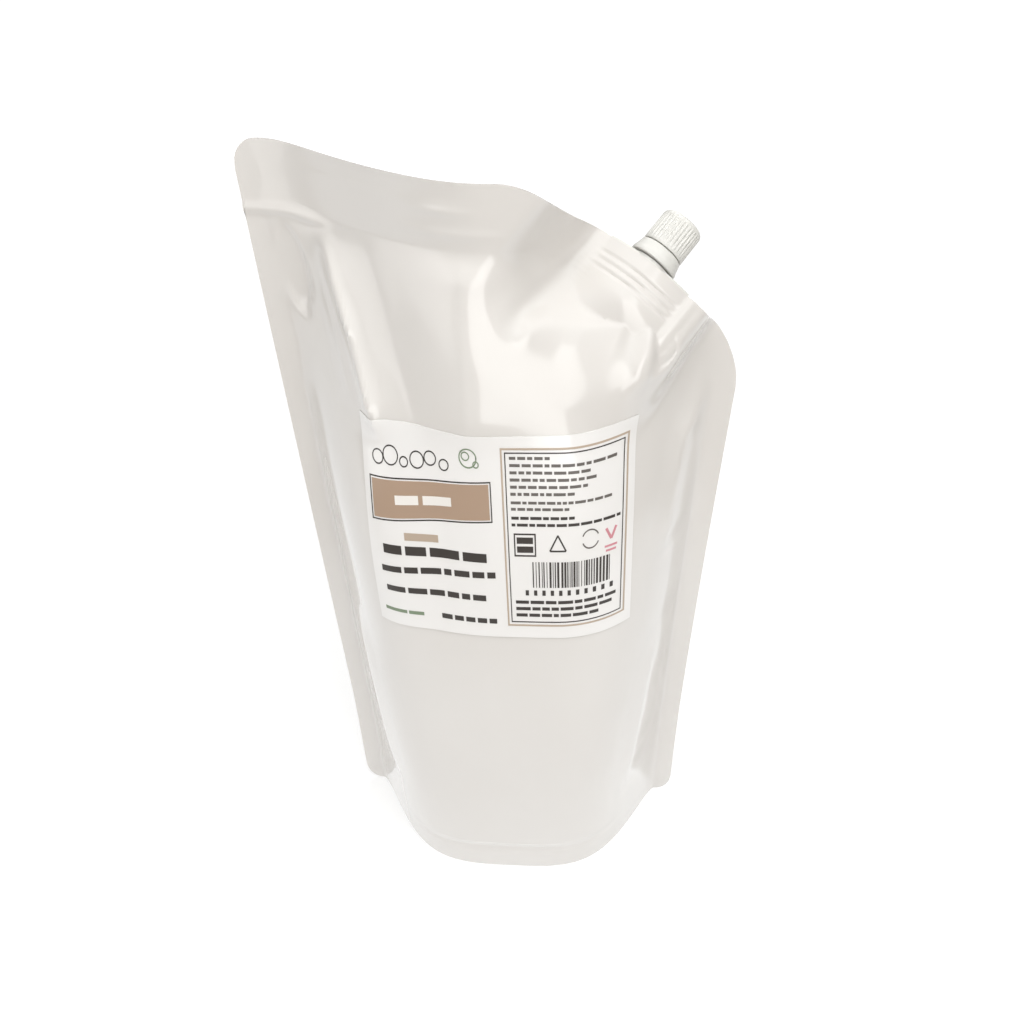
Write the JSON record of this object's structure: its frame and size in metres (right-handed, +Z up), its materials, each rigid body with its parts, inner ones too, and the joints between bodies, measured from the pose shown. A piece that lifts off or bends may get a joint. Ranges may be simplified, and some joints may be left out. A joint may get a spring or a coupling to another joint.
{
  "type": "hand soap refill pack",
  "caption": "Filled stand-up film pouch with an oval base, one slanted top corner and a ribbed screw cap on a small spout.",
  "frame": {"origin": "middle of the base, on the surface that the pack stands on", "axes": "+Z up, the front face towards -Y, the spout towards +X"},
  "size_m": [0.1655, 0.0912, 0.2681],
  "materials": {
    "film": "glossy white laminate film",
    "moulding": "satin white moulded polyethylene",
    "label": "smooth coated label paper"
  },
  "bodies": {
    "pack": {"pouch": "film", "spout": "moulding", "tamper_ring": "moulding", "label": "label"},
    "cap": {"cap": "moulding"}
  },
  "joints": [
    {"name": "cap_turn", "type": "hinge", "parent": "pack", "child": "cap", "pos_m": [0.0477, 0.0169, 0.2349], "axis": [0.6188, 0.4708, 0.6288], "range_deg": [0, 540]}
  ]
}
